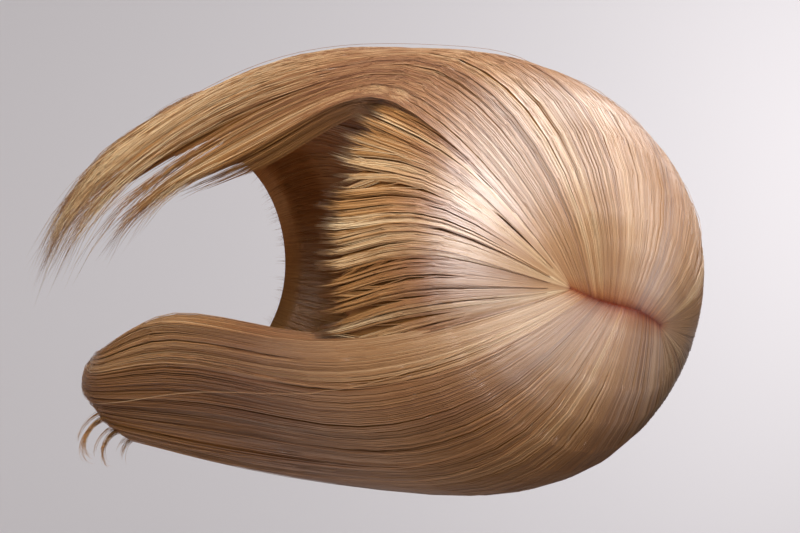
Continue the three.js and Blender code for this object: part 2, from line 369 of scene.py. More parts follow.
sections = {
    "fringe": combed(FRINGE_HAIR, FRINGE_GUIDES, fan_root(PARTING_FRONT_Y, -1), swept),
    "right_side": combed(LONG_HAIR, RIGHT_GUIDES, side_root(-1), relaxed),
    "left_side": combed(LONG_HAIR, LEFT_GUIDES, side_root(1), relaxed),
    "back": combed(LONG_HAIR, BACK_GUIDES, fan_root(PARTING_BACK_Y, 1), relaxed),
}
for name, section in sections.items():
    lengths = np.linalg.norm(np.diff(section["outer"], axis=1), axis=2).sum(1)
    print(name, "hair", lengths.min().round(), "to", lengths.max().round(), "mm long")

# %% [markdown]
# ## A point anywhere in the hair
#
# From here on, a place in the hair is three shares: across its section, along its length, and its
# depth, from 0 against the head to 1 on the surface. Wisps, slits and curls are then small changes to
# these shares, which is simpler than moving points in space.


# %% A point anywhere in the hair
def hair_place(section, across, along, depth):
    """Points at shares across, along and through a section; a little outside it goes straight on."""
    lane = across * (LANES - 1)
    step = along * (STEPS - 1)
    i = np.clip(np.floor(lane).astype(int), 0, LANES - 2)
    j = np.clip(np.floor(step).astype(int), 0, STEPS - 2)
    fi = (lane - i)[..., None]
    fj = (step - j)[..., None]

    def read(grid):
        before = mix(grid[i, j], grid[i + 1, j], fi)
        after = mix(grid[i, j + 1], grid[i + 1, j + 1], fi)
        return mix(before, after, fj)

    return mix(read(section["inner"]), read(section["outer"]), np.asarray(depth)[..., None])


fringe_tip = hair_place(sections["fringe"], np.array(0.5), np.array(1.0), 1.0)
print("middle of the fringe's tips:", fringe_tip.round(1))

# %% [markdown]
# ## How the sections differ
#
# Combed hair doesn't lie as single fibres. They cling together in wisps and the wisps in locks, each a
# little higher, lower, lighter or darker than the next. Between some wisps the hair opens in long thin
# slits that show the dark underneath. The fringe falls in sharp pointed wisps, the right side in long
# smooth locks, and the left side and back hang even and turn under. One table holds those differences,
# so the functions below serve every section.
#
# - locks, wisps, contrast: how many locks, how many wisps in each, how much the locks differ in tone
# - slits: how many, and the ranges of where they begin, how long they are and how wide
# - relief, groove, steps: how deep the wisps lie, the groove between them, how sharply they step
# - flush: how far along its length the hair still lies level
# - uneven, front_cut: how much the wisps differ in length, how much shorter the front edge is
# - gather_from: where along its length the hair begins to draw together
# - tied_rear: 1 where the rear of a section hangs with its neighbour and not freely
# - turns_under, straight_front: whether the ends curl, and how much wider they do at the front edge
# - reach, jag, sink, fingers: where the body under the strands ends, in wisps or in whole locks, and
#   how far it sinks below the strands on the way

# %% How the sections differ
PLAIN = dict(
    wisps=5, groove=0.1, steps=0.1, gather_from=0.3, front_cut=0, tied_rear=0,
    turns_under=False, straight_front=0, fingers=0.0,
)
SETTINGS = {
    "fringe": dict(
        PLAIN, locks=14, wisps=3, contrast=0.15,
        slits=14, slit_begin=(0.12, 0.5), slit_length=(0.2, 0.5), slit_width=(0.0015, 0.0045),
        relief=0.24, groove=0.4, steps=0.8, flush=0.42, uneven=0.07,
        reach=0.96, jag=0.05, sink=0.4,
    ),
    "right_side": dict(
        PLAIN, locks=9, contrast=0.12,
        slits=9, slit_begin=(0.03, 0.4), slit_length=(0.12, 0.3), slit_width=(0.0015, 0.004),
        relief=0.2, flush=0.3, uneven=0.08, gather_from=0.5, tied_rear=1.0,
        reach=0.86, jag=0.04, sink=0.35, fingers=0.24,
    ),
    "left_side": dict(
        PLAIN, locks=9, contrast=0.36,
        slits=9, slit_begin=(0.05, 0.45), slit_length=(0.15, 0.35), slit_width=(0.002, 0.005),
        relief=0.26, flush=0.25, uneven=0.02, front_cut=0.06, turns_under=True, straight_front=1.5,
        reach=1.0, jag=0.01, sink=0.2,
    ),
    "back": dict(
        PLAIN, locks=10, contrast=0.18,
        slits=12, slit_begin=(0.05, 0.45), slit_length=(0.12, 0.3), slit_width=(0.002, 0.005),
        relief=0.22, flush=0.25, uneven=0.01, turns_under=True,
        reach=1.0, jag=0.0, sink=0.2,
    ),
}
for name, section in sections.items():
    section.update(SETTINGS[name])
    print(name, section["locks"], "locks of", section["wisps"], "wisps")

# %% [markdown]
# ## Wisps and slits
#
# Wisps and slits are drawn once for each section, from one random generator with a fixed seed. So
# every run gives the same wig, and the body of the hair and the strands over it agree. Five wider
# openings in the fringe are placed one by one, where the tips part in wedges.

# %% Draw the wisps and slits
SEED = 20
UNEVEN_WIDTHS = (0.5, 1.5)
LOCK_SHARE = 0.6
WISP_CONTRAST = 0.1
# Where each wedge is across the fringe, and its width as a share of it.
WEDGES = ((0.24, 0.010), (0.58, 0.013), (0.69, 0.018), (0.79, 0.014), (0.89, 0.018))
WEDGE_BEGIN = 0.42
WEDGE_LENGTH = 1.2
rng = np.random.default_rng(SEED)


def shares(count):
    """Edges from 0 to 1 of some neighbours of uneven width."""
    widths = rng.uniform(*UNEVEN_WIDTHS, count)
    return np.concatenate([[0], np.cumsum(widths) / widths.sum()])


def add_wisps(section):
    """Splits a section in locks and each lock in wisps, with heights, tones and lengths of their own."""
    locks = section["locks"]
    wisps = section["wisps"]
    count = locks * wisps
    lock_edges = shares(locks)
    edges = [mix(a, b, shares(wisps)[:-1]) for a, b in zip(lock_edges[:-1], lock_edges[1:])]
    section["edges"] = np.concatenate(edges + [[1]])
    section["middles"] = (section["edges"][1:] + section["edges"][:-1]) / 2
    section["lock_middles"] = np.repeat((lock_edges[1:] + lock_edges[:-1]) / 2, wisps)
    section["lock_halves"] = np.repeat((lock_edges[1:] - lock_edges[:-1]) / 2, wisps)
    lock_low = LOCK_SHARE * np.repeat(rng.random(locks), wisps)
    section["low"] = lock_low + (1 - LOCK_SHARE) * rng.random(count)
    lock_tones = np.repeat(rng.uniform(-section["contrast"], section["contrast"], locks), wisps)
    section["tones"] = lock_tones + rng.uniform(-WISP_CONTRAST, WISP_CONTRAST, count)
    section["short"] = rng.random(count)
    section["sways"] = rng.uniform(0, 2 * math.pi, count)
    section["fans"] = rng.uniform(-1, 1, count)


def add_openings(section):
    """Opens the hair in slits between some of the wisps."""
    inside = np.arange(1, len(section["edges"]) - 1)
    chosen = np.sort(rng.choice(inside, section["slits"], replace=False))
    section["openings"] = []
    for k in chosen:
        section["openings"].append({
            "across": section["edges"][k],
            "begin": rng.uniform(*section["slit_begin"]),
            "length": rng.uniform(*section["slit_length"]),
            "width": rng.uniform(*section["slit_width"]),
        })


for section in sections.values():
    add_wisps(section)
for section in sections.values():
    add_openings(section)
for across, width in WEDGES:
    wedge = {"across": across, "begin": WEDGE_BEGIN, "length": WEDGE_LENGTH, "width": width}
    sections["fringe"]["openings"].append(wedge)
print("openings:", {name: len(section["openings"]) for name, section in sections.items()})

# %% [markdown]
# ## What wisps, slits and curls do to a hair
#
# Each function here takes hairs by their shares and gives the change that the real hair shows: it moves
# aside at a slit, lies lower in a groove, leaves the parting a little lower than it goes on, ends
# shorter at the front edge, or turns under at the ends as hair does that was set on a roller.

# %% A hair beside a slit and in its wisp
SLIT_SHAPE = 0.8
CROWN_RELIEF = 0.06
RELIEF_LENGTH = 0.6


def opened(section, across, along, depth, drop):
    """Moves hairs aside, and down by up to drop, where a slit is open beside them."""
    moved = np.array(across, float)
    lowered = np.array(depth, float)
    for slit in section["openings"]:
        away = across - slit["across"]
        f = np.clip((along - slit["begin"]) / slit["length"], 0, 1)
        window = np.sin(f * math.pi) ** SLIT_SHAPE
        aside = np.sign(away) * slit["width"] * window
        moved = moved + aside * np.exp(-np.abs(away) / (2 * slit["width"]))
        lowered = lowered - drop * window * np.exp(-((away / slit["width"]) ** 2))
    return moved, lowered


def wisp_at(section, across):
    """Which wisp a hair is in, and how far it is from the wisp's middle to its edge."""
    last = len(section["middles"]) - 1
    wisp = np.clip(np.searchsorted(section["edges"], across, side="right") - 1, 0, last)
    half = (section["edges"][wisp + 1] - section["edges"][wisp]) / 2
    return wisp, np.clip(np.abs(across - section["middles"][wisp]) / half, 0, 1)


def hollow(section, lane, along):
    """How far the wisps lie below the surface: hardly on the crown, more down the length."""
    growth = mix(CROWN_RELIEF, 1, ease_from(along, section["flush"], RELIEF_LENGTH))
    wisp, edge = wisp_at(section, lane)
    wave = np.interp(lane, section["middles"], section["low"])
    shape = mix(wave, section["low"][wisp], section["steps"]) + section["groove"] * edge ** 2
    return section["relief"] * shape[:, None] * growth


middle_wisps = {name: int(wisp_at(section, np.array(0.5))[0]) for name, section in sections.items()}
print("wisps in the middle of each section:", middle_wisps)

# %% The roots, ends and curl of a hair
# CURL_RADIUS is in mm, and CURL_LENGTH is the length of a hair in mm, to turn shares into mm.
TIED_LANES = (0.7, 0.2)
ROOT_DIP = 0.08
ROOT_RISE = 0.012
FRONT_EDGE = 0.04
CURL_BEGIN = 0.905
CURL_RADIUS = 28
CURL_LENGTH = 340
STRAIGHT_EDGE = 0.06


def looseness(section, lane):
    """How freely the ends hang: fully, but for the rear of a section that is tied to its neighbour."""
    return 1 - section["tied_rear"] * ease_from(lane, *TIED_LANES)


def rise(along):
    """The hair leaves the parting a little lower than it lies beside it."""
    return 1 - ROOT_DIP * np.exp(-along / ROOT_RISE)


def front_cut(section, lane):
    """How much shorter the hair is towards the front edge."""
    return section["front_cut"] * np.exp(-np.maximum(lane, 0) / FRONT_EDGE)


def curled(section, across, along, depth, tight=1.0):
    """Turns the ends under: past the curl's beginning, hair follows a circle inwards."""
    if not section["turns_under"]:
        return along, depth
    front_edge = section["straight_front"] * np.exp(-np.maximum(across, 0) / STRAIGHT_EDGE)
    radius = CURL_RADIUS * tight * (1 + front_edge)
    turn = np.maximum(along - CURL_BEGIN, 0) * CURL_LENGTH / radius
    forward = np.minimum(along, CURL_BEGIN) + radius * np.sin(turn) / CURL_LENGTH
    return forward, depth - radius * (1 - np.cos(turn)) / TIP_DEPTH


print("at its root, hair starts at", rise(0), "of its depth")

# %% [markdown]
# ## Meshes from arrays
#
# Blender's own hair system draws strands only at render time. Here the strands have to be real
# surfaces, so each one is a very thin tube with three sides, closed to a point at both ends, and all
# strands of a section are joined in one mesh. A loop that adds one vertex at a time would take
# minutes. Filling whole arrays at once takes a second.

# %% An object from arrays
MM = 0.001
# Every mesh has one map. Strands keep their tone and length in it.
MAP_NAME = "OFBake"


def mesh_object(name, points, faces, uvs, flat=()):
    """An object from points in mm, groups of faces and their UVs. Groups in flat aren't smooth."""
    sizes = np.concatenate([np.full(len(f), f.shape[1]) for f in faces])
    starts = np.concatenate([[0], sizes.cumsum()[:-1]])
    corners = np.concatenate([f.ravel() for f in faces])
    smooth = np.concatenate([np.full(len(f), k not in flat) for k, f in enumerate(faces)])
    uv = np.concatenate([u.reshape(-1, 2) for u in uvs])
    mesh = bpy.data.meshes.new(name)
    mesh.vertices.add(len(points))
    mesh.vertices.foreach_set("co", (points * MM).astype(np.float32).ravel())
    mesh.loops.add(len(corners))
    mesh.loops.foreach_set("vertex_index", corners.astype(np.int32))
    mesh.polygons.add(len(sizes))
    mesh.polygons.foreach_set("loop_start", starts.astype(np.int32))
    mesh.polygons.foreach_set("use_smooth", smooth)
    mesh.uv_layers.new(name=MAP_NAME).data.foreach_set("uv", uv.astype(np.float32).ravel())
    mesh.update(calc_edges=True)
    mesh.validate()
    made = bpy.data.objects.new(name, mesh)
    scene.collection.objects.link(made)
    print(name, int((sizes - 2).sum()), "triangles")
    return made


def sheet_faces(columns, rows, start=0, flip=False):
    """Quads of a grid of points, columns by rows."""
    c, r = np.meshgrid(np.arange(columns - 1), np.arange(rows - 1), indexing="ij")
    a = start + c * rows + r
    quads = np.stack([a, a + rows, a + rows + 1, a + 1], -1).reshape(-1, 4)
    return quads[:, ::-1] if flip else quads


print("a grid of 3 by 4 points has", len(sheet_faces(3, 4)), "quads")

# %% Points of a tube
CORNERS = 3
FLATNESS = 0.55
SHORTEST = 1e-9


def unit(v):
    """Vectors made 1 long."""
    return v / np.maximum(np.linalg.norm(v, axis=-1, keepdims=True), SHORTEST)


def tube_points(paths, widths):
    """Points of flat tubes along paths, each from a root point through its rings to a tip point."""
    forward = unit(np.gradient(paths, axis=1))
    outward = paths - (0, 0, -CROWN_HEIGHT)
    sideways = unit(np.cross(forward, outward))
    upward = np.cross(sideways, forward)
    turn = math.pi / 2 + np.arange(CORNERS) * 2 * math.pi / CORNERS
    wide = np.cos(turn)[:, None]
    high = FLATNESS * np.sin(turn)[:, None]
    ring = wide * sideways[:, :, None] + high * upward[:, :, None]
    rings = paths[:, 1:-1, None] + ring[:, 1:-1] * widths[:, 1:-1, None, None] / 2
    return np.concatenate([paths[:, :1], rings.reshape(len(paths), -1, 3), paths[:, -1:]], 1)


bar = np.array([[[0.0, 0, 0], [10, 0, 0], [20, 0, 0], [30, 0, 0]]])
print("a tube of 4 cuts has", tube_points(bar, np.ones((1, 4))).shape[1], "points")


# %% Faces and map of a tube
def tube_faces(cuts):
    """Faces of one tube: quads between its rings, and triangles at its two points."""
    a = np.arange(CORNERS)
    b = (a + 1) % CORNERS
    ring = 1 + CORNERS * np.arange(cuts - 3)[:, None]
    last = 1 + CORNERS * (cuts - 3)
    quads = np.stack([ring + a, ring + b, ring + b + CORNERS, ring + a + CORNERS], -1)
    root_fan = np.stack([0 * a, 1 + b, 1 + a], -1)
    tip_fan = np.stack([last + a, last + b, 0 * a + last + CORNERS], -1)
    return quads.reshape(-1, 4), np.concatenate([root_fan, tip_fan])


def tube_map(heights):
    """The map of the same faces: from 0 to 1 round the strand, and the heights along it."""
    a = np.arange(CORNERS)
    k = np.arange(len(heights) - 3)[:, None]
    left = a / CORNERS
    right = (a + 1) / CORNERS
    centre = (a + 0.5) / CORNERS
    low = heights[k + 1] + 0 * a
    high = heights[k + 2] + 0 * a
    quad_u = np.stack([left, right, right, left], -1)[None].repeat(len(k), 0)
    quad_v = np.stack([low, low, high, high], -1)
    fan_u = np.concatenate([np.stack([centre, right, left], -1), np.stack([left, right, centre], -1)])
    root_v = [heights[0], heights[1], heights[1]]
    tip_v = [heights[-2], heights[-2], heights[-1]]
    fan_v = np.repeat([root_v, tip_v], CORNERS, 0)
    return (quad_u.ravel(), quad_v.ravel()), (fan_u.ravel(), fan_v.ravel())


some_quads, some_triangles = tube_faces(10)
print("a strand of 10 cuts has", 2 * len(some_quads) + len(some_triangles), "triangles")

# %% Strands from tubes
# On the map a strand is a narrow column at its tone, and its length goes up.
STRAND_COLUMN = 0.008
TONE_LIMITS = (0.01, 0.98)


def tubes(paths, widths, tones, heights):
    """Points, faces and map of one closed tube for every path."""
    points = tube_points(paths, widths)
    count, size = points.shape[:2]
    start = (np.arange(count) * size)[:, None, None]
    faces = [(start + f).reshape(-1, f.shape[1]) for f in tube_faces(paths.shape[1])]
    column = np.clip(tones, *TONE_LIMITS)[:, None]
    maps = []
    for u, v in tube_map(heights):
        across = column + STRAND_COLUMN * u
        maps.append(np.stack([across, np.broadcast_to(v, across.shape)], -1).reshape(-1, 2))
    return points.reshape(-1, 3), faces, maps


def strands(name, batches):
    """One mesh of all the strands in some batches."""
    points = []
    faces = []
    maps = []
    planted = 0
    for batch in batches:
        some_points, some_faces, some_maps = tubes(*batch)
        points.append(some_points)
        faces += [f + planted for f in some_faces]
        maps += some_maps
        planted += len(some_points)
    print(name, sum(len(batch[0]) for batch in batches), "strands")
    return mesh_object(name, np.concatenate(points), faces, maps)


print("a strand takes", STRAND_COLUMN, "of the map's width")

# %% [markdown]
# ## Colour and nodes
#
# Colours are written as sRGB hex values, as a colour picker gives them, and turned to the linear values
# that the shader works in. One small function adds a node with its settings and links, so that a
# material reads as a list of what it is made of.


# %% Colour and node helpers
def linear(hex_colour):
    """The linear light of an sRGB hex colour, by the curve of the sRGB standard, with full alpha."""
    channels = [int(hex_colour[k:k + 2], 16) / 255 for k in (1, 3, 5)]
    return [c / 12.92 if c <= 0.04045 else ((c + 0.055) / 1.055) ** 2.4 for c in channels] + [1.0]


def node(material, kind, inputs=None, stops=(), **settings):
    """Adds a node. An input is a value or the socket that feeds it; stops are the colours of a ramp."""
    made = material.node_tree.nodes.new(kind)
    for key, value in settings.items():
        setattr(made, key, value)
    for key, value in (inputs or {}).items():
        if isinstance(value, bpy.types.NodeSocket):
            material.node_tree.links.new(value, made.inputs[key])
        else:
            made.inputs[key].default_value = value
    for k, (position, colour) in enumerate(stops):
        elements = made.color_ramp.elements
        element = elements[k] if k < 2 else elements.new(position)
        element.position = position
        element.color = linear(colour)
    return made


def empty_material(name):
    """A new material with no nodes in it."""
    material = bpy.data.materials.new(name)
    material.use_nodes = True
    material.node_tree.nodes.clear()
    return material


print("half grey in linear light:", round(linear("#808080")[0], 3))

# %% [markdown]
# ## Synthetic fibre
#
# Wig hair is plastic fibre, mostly modacrylic, drawn out through fine holes. To the eye that is smooth,
# even and a little glossy. Each fibre has its own tone, from honey brown to pale blonde, and the mix
# makes the blonde look deep. It could be one colour with a noise, but then strands would change tone
# along their length. Here the tone is stored in the map of each strand, so one material serves them all.

# %% Strand material
# A drawn plastic fibre has an IOR of about 1.5 and a sleek surface. A bundle of fibres sends back far
# more white light than one flat plastic face, so a soft coat with a high IOR stands for that and gives
# the bright bands on the crown.
FIBRE_IOR = 1.55
FIBRE_GLOSS = 0.5
FIBRE_ROUGHNESS = 0.36
SHEEN_IOR = 2.8
SHEEN_ROUGHNESS = 0.45

# From the darkest fibres to the palest. The palest also serves as painted light on the right side's tips.
TONES = ((0.0, "#7f4c24"), (0.35, "#ac763f"), (0.65, "#c39057"), (1.0, "#f2d6aa"))
# Roots are matt where they leave the cloth. Along the hair this ramp paints shade: the roots darker and
# warmer, as painted shade in the parting, and the middle of the length a little darker, as painted shade.
PAINTED_SHADE_ROOT_TO_TIP = (
    (0.1, "#a85a28"), (0.15, "#dcae82"), (0.22, "#f4e6d4"),
    (0.35, "#fffdfa"), (0.78, "#cfb394"), (0.93, "#ffffff"),
)
GLOSS_TO_TIP = (
    (0.1, "#101010"), (0.24, "#ffffff"), (0.75, "#ffffff"), (0.95, "#707070"), (1.0, "#404040"),
)


def strand_material():
    material = empty_material("synthetic_fibre")
    place = node(material, "ShaderNodeUVMap", uv_map=MAP_NAME)
    parts = node(material, "ShaderNodeSeparateXYZ", {"Vector": place.outputs["UV"]})
    tone = node(material, "ShaderNodeValToRGB", {"Fac": parts.outputs["X"]}, TONES)
    shade = node(material, "ShaderNodeValToRGB", {"Fac": parts.outputs["Y"]}, PAINTED_SHADE_ROOT_TO_TIP)
    gloss = node(material, "ShaderNodeValToRGB", {"Fac": parts.outputs["Y"]}, GLOSS_TO_TIP)
    colour = node(material, "ShaderNodeMix", {
        "Factor": 1.0,
        "A": tone.outputs["Color"],
        "B": shade.outputs["Color"],
    }, data_type="RGBA", blend_type="MULTIPLY")
    shader = node(material, "ShaderNodeBsdfPrincipled", {
        "Base Color": colour.outputs["Result"],
        "Roughness": FIBRE_ROUGHNESS,
        "IOR": FIBRE_IOR,
        "Specular IOR Level": FIBRE_GLOSS,
        "Coat Weight": gloss.outputs["Color"],
        "Coat IOR": SHEEN_IOR,
        "Coat Roughness": SHEEN_ROUGHNESS,
    })
    node(material, "ShaderNodeOutputMaterial", {"Surface": shader.outputs["BSDF"]})
    return material


fibre = strand_material()
print("material:", fibre.name)

# %% [markdown]
# ## The body of the hair
#
# Under the loose strands, the hair is too dense to see through. Filling it with strands would take
# millions of triangles, so each section has a closed body there, a little below the surface, with the
# same wisps and slits. Its colour and bump have fine streaks along the hair. It ends short of the
# tips, in one point for each wisp.

# %% Body material
# The same fibre packed tight: less gloss than a single strand, and streaks where bundles differ in tone.
# One unit of the map is about 300 mm of hair. A streak is about ten fibres wide. The threads of the bump
# are three times as thick as a real fibre, because finer ones don't show. Both are width and length.
MAP_MM = 297
STREAK_MM = (0.9, 59.4)
STREAK_DETAIL = 3.0
THREAD_MM = (0.33, 33)
THREAD_DETAIL = 2.0
THREAD_BUMP_MM = 0.5
THREAD_STRENGTH = 0.35
BODY_ROUGHNESS = 0.42
BODY_TONES = ((0.3, "#986535"), (0.5, "#ab7641"), (0.7, "#bd8850"))
# At its very roots the body is painted pale and warm: painted light that lifts the shade in the parting,
# so that it doesn't show as a black line.
PAINTED_LIGHT_ROOT_COLOUR = "#f4ac6c"
PAINTED_LIGHT_ROOT_SHARE = ((0.008, "#ffffff"), (0.03, "#000000"))


def body_material():
    material = empty_material("synthetic_fibre_mass")
    place = node(material, "ShaderNodeUVMap", uv_map=MAP_NAME)
    noises = []
    for (width, length), detail in ((STREAK_MM, STREAK_DETAIL), (THREAD_MM, THREAD_DETAIL)):
        scale = (MAP_MM / width, MAP_MM / length, 1)
        drawn_out = node(material, "ShaderNodeMapping", {"Vector": place.outputs["UV"], "Scale": scale})
        noises.append(node(material, "ShaderNodeTexNoise", {
            "Vector": drawn_out.outputs["Vector"], "Scale": 1.0, "Detail": detail,
        }))
    streaks, threads = noises
    parts = node(material, "ShaderNodeSeparateXYZ", {"Vector": place.outputs["UV"]})
    roots = node(material, "ShaderNodeValToRGB", {"Fac": parts.outputs["Y"]}, PAINTED_LIGHT_ROOT_SHARE)
    tones = node(material, "ShaderNodeValToRGB", {"Fac": streaks.outputs["Fac"]}, BODY_TONES)
    colour = node(material, "ShaderNodeMix", {
        "Factor": roots.outputs["Color"],
        "A": tones.outputs["Color"],
        "B": linear(PAINTED_LIGHT_ROOT_COLOUR),
    }, data_type="RGBA")
    bump = node(material, "ShaderNodeBump", {
        "Height": threads.outputs["Fac"],
        "Strength": THREAD_STRENGTH,
        "Distance": THREAD_BUMP_MM * MM,
    })
    shader = node(material, "ShaderNodeBsdfPrincipled", {
        "Base Color": colour.outputs["Result"],
        "Roughness": BODY_ROUGHNESS,
        "IOR": FIBRE_IOR,
        "Specular IOR Level": FIBRE_GLOSS,
        "Normal": bump.outputs["Normal"],
    })
    node(material, "ShaderNodeOutputMaterial", {"Surface": shader.outputs["BSDF"]})
    return material


mass = body_material()
print("material:", mass.name)

# %% Lanes and ends of a body
# Lanes are shares across the hair. Those beside a slit are counted in widths of the slit.
BODY_COLUMNS = 120
FIRST_LANE = 0.004
SIDE_MARGIN = 0.003
PAST_WISP = 0.001
EDGE_LANES = np.array([0.0045, 0.006, 0.009, 0.014])
SLIT_LANES = np.array([-1.6, -0.7, -0.2, -0.02, 0.02, 0.2, 0.7, 1.6])


def body_lanes(section):
    """Lanes across a section, closer together at its sides, wisps and slits."""
    lanes = [np.linspace(FIRST_LANE, 1 - FIRST_LANE, BODY_COLUMNS), EDGE_LANES, 1 - EDGE_LANES]
    lanes += [section["middles"], section["edges"] + PAST_WISP]
    for slit in section["openings"]:
        lanes.append(slit["across"] + slit["width"] * SLIT_LANES)
    lanes = np.unique(np.concatenate(lanes).round(5))
    return lanes[(lanes > SIDE_MARGIN) & (lanes < 1 - SIDE_MARGIN)]


def body_ends(section, lanes):
    """Where the body ends along the hair: in a point for each wisp or, with fingers, for each lock."""
    wisp, edge = wisp_at(section, lanes)
    aside = np.abs(lanes - section["lock_middles"][wisp]) / section["lock_halves"][wisp]
    end = section["reach"] - section["jag"] * (section["short"][wisp] + edge ** 2)
    end = end - section["fingers"] * np.clip(aside, 0, 1)
    return mix(1.0, end, np.sqrt(looseness(section, lanes))) - front_cut(section, lanes)


print("lanes:", {name: len(body_lanes(section)) for name, section in sections.items()})

# %% Surfaces of a body
# Depths are shares through the hair, from 0 against the head to 1 on the surface.
BODY_ROWS = 40
ROW_SPACING = 1.2
BODY_TOP = 0.93
BODY_MIDDLE = 0.4
BODY_UNDERSIDE = 0.02
BODY_SINKS = (0.4, 0.6)
BODY_DROP = 0.15
THIN_END = (0.75, 0.25)
THINNED_BY = 0.8
ROUND_EDGE = 0.02
SHARPEST_EDGE = 0.02
ROUND_FROM = (0.12, 0.2)


def body_surfaces(section, lanes):
    """The outer and inner surface of a body, with its shares across and along."""
    rows = np.linspace(0, 1, BODY_ROWS) ** ROW_SPACING
    across = np.repeat(lanes[:, None], BODY_ROWS, 1)
    along = rows[None] * body_ends(section, lanes)[:, None]
    depth = BODY_TOP - hollow(section, lanes, along) - section["sink"] * ease_from(along, *BODY_SINKS)
    across, depth = opened(section, across, along, depth * rise(along), BODY_DROP)
    middle = BODY_MIDDLE * rise(along)
    inset = np.clip(np.minimum(across, 1 - across) / ROUND_EDGE, SHARPEST_EDGE, 1)
    rounding = np.sqrt(1 - (1 - inset) ** 2)
    thin = 1 - THINNED_BY * ease_from(rows[None], *THIN_END)
    thin = thin * mix(1, rounding, ease_from(along, *ROUND_FROM))
    surfaces = []
    for side in (depth, BODY_UNDERSIDE):
        forward, through = curled(section, across, along, mix(middle, side, thin))
        surfaces.append(hair_place(section, across, forward, through))
    return surfaces, across, along


print("a body has", BODY_ROWS, "rows of points from its roots to its tips")

# %% [markdown]
# ## Closing and dressing the bodies
#
# The two surfaces of a body are joined by a rim all round, so it is a closed solid as the real hair is
# a closed mass. A solidify modifier would do the same with an even thickness, but hair thins towards its
# tips. Every body takes the place of one solid of the model.

# %% Bodies of hair
MAP_HALF = 0.47
MAP_MARGIN = 0.01
INNER_HALF = 0.51


def hair_body(name, section):
    """The closed body of one section. It sinks below the strands towards the tips."""
    lanes = body_lanes(section)
    surfaces, across, along = body_surfaces(section, lanes)
    columns = len(lanes)
    size = columns * BODY_ROWS
    grid = np.arange(size).reshape(columns, BODY_ROWS)
    border = np.concatenate([grid[:, 0], grid[-1, 1:], grid[-2::-1, -1], grid[0, -2:0:-1]])
    following = np.roll(border, -1)
    rim = np.stack([border, border + size, following + size, following], -1)
    faces = [
        sheet_faces(columns, BODY_ROWS),
        sheet_faces(columns, BODY_ROWS, size, flip=True),
        rim,
    ]
    points = np.concatenate([surface.reshape(-1, 3) for surface in surfaces])
    uv = np.stack([MAP_MARGIN + MAP_HALF * np.clip(across, 0, 1), along], -1).reshape(-1, 2)
    uv = np.concatenate([uv, uv + (INNER_HALF, 0)])
    return mesh_object(name, points, faces, [uv[f] for f in faces], flat=(2,))


def dress(piece, material, node_name=None):
    """Gives a piece its material and its place in the model, and hides the solid that it stands for."""
    piece.data.materials.append(material)
    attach(piece, "root")
    if node_name:
        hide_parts(node_name)


for name, section in sections.items():
    dress(hair_body(name + "_body", section), mass, name)

# %% [markdown]
# ## Strands
#
# Now the hair itself. Strands are spread evenly across a section, then drawn together in their wisps
# towards the tips, moved aside at the slits, and given small sways, so that neighbours cross at narrow
# angles. They lie at different depths. Real fibres are a tenth of a millimetre thick. These are drawn
# five times as thick, so that they show in the picture. A strand is cut at rungs, which are closer
# where it bends more: at the root, on the crown and in a curl.

# %% Rungs
CROWN_RUNGS = (0, 0.003, 0.012, 0.03, 0.06, 0.09, 0.13, 0.17, 0.21, 0.25, 0.29, 0.34, 0.40)
LONG_RUNGS = np.array(CROWN_RUNGS + (0.47, 0.55, 0.63, 0.71, 0.79, 0.87, 0.94, 1))
CURL_RUNGS = np.array(CROWN_RUNGS + (0.48, 0.56, 0.64, 0.72, 0.79, 0.85, 0.89, 0.92, 0.945, 0.97, 1))
FRINGE_RUNGS = np.array([0, 0.008, 0.03, 0.07, 0.13, 0.20, 0.29, 0.39, 0.50, 0.61, 0.72, 0.82, 0.91, 1])
print("rungs on long hair:", len(LONG_RUNGS), "and on curled hair:", len(CURL_RUNGS))

# %% Depths
CROWN_SPREAD = 0.03
TIP_SPREAD = 0.4
SPREADS = (0.4, 0.6)
LINING = (-0.02, 0.3)
EDGE = (0.05, 1)
INNER_TOP = 0.2
INNER_TIP = -1.2
INNER_LEAVES = (0.5, 0.5)
INNER_SPREAD = 0.25
STRAY = (0.01, 0.1)


def between(low, high, count):
    """One random value for each strand, as a column."""
    return rng.uniform(low, high, count)[:, None]


def surface_depth(section, lane, along):
    """Strands on the surface: close to it on the crown, spread through the hair at the tips."""
    spread = mix(CROWN_SPREAD, TIP_SPREAD, ease_from(along, *SPREADS))
    return 1 - hollow(section, lane, along) - between(0, 1, len(lane)) * spread


def lining_depth(section, lane, along):
    """Strands on the inside of the hair, which show from below."""
    return between(*LINING, len(lane)) + 0 * along


def edge_depth(section, lane, along):
    """Strands on the side edge of a section, from its inside to its surface."""
    return between(*EDGE, len(lane)) + 0 * along


def inner_depth(section, lane, along):
    """A layer that leaves the outer hair and hangs further in."""
    depth = mix(INNER_TOP, INNER_TIP, ease_from(along, *INNER_LEAVES))
    return depth + between(-INNER_SPREAD, INNER_SPREAD, len(lane))


def stray_depth(section, lane, along):
    """Single hairs that stand off the rest."""
    return 1 + between(*STRAY, len(lane)) * np.sin(math.pi * np.clip(along, 0, 1))


print("the inner layer ends", -INNER_TIP, "times the hair's depth inside it")

# %% Where strands end, lie and swing
TIED_VARIES = 0.2
SWAY = 0.004
SWAY_TURN = 4
SWAY_GROWS = 0.3
FANS_OUT = (0.55, 0.45)
HOOKS = (0.72, 0.3)


def strand_ends(section, lane, drawn):
    """Where strands end along the hair: unevenly where they hang free, almost evenly where tied."""
    wisp, edge = wisp_at(section, lane)
    cut = section["uneven"] * (section["short"][wisp] + edge ** 2) + front_cut(section, lane)
    tied = 1 + TIED_VARIES * (drawn - 1)
    return mix(tied, drawn - cut[:, None], looseness(section, lane)[:, None])


